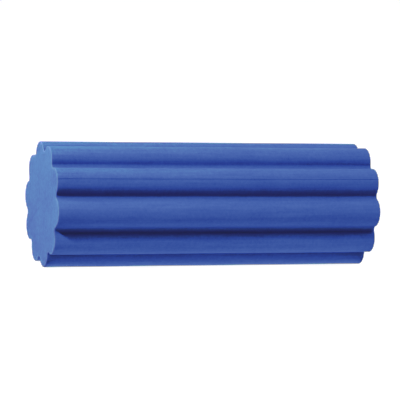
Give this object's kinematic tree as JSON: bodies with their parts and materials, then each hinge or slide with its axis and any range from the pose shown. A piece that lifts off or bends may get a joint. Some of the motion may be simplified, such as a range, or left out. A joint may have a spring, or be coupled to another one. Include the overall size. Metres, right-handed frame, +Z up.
{
  "type": "foam massage roller",
  "caption": "Solid foam massage roller with rounded lobes and grooves along its whole length and flat, square ends, made of two bonded halves.",
  "frame": {"origin": "on the floor under the middle of the roller, which lies on two of its lobes", "axes": "+X along the roller, towards its right end; +Z up; -Y is the side with a lobe facing straight out"},
  "size_m": [0.4, 0.148, 0.1425],
  "materials": {
    "foam": "matte blue closed-cell EVA foam with a fine skin",
    "adhesive": "dark blue hot-melt film, slightly glossy at its edge"
  },
  "bodies": {
    "root": {"upper_foam_half": "foam", "lower_foam_half": "foam", "bond_film": "adhesive"}
  },
  "joints": []
}
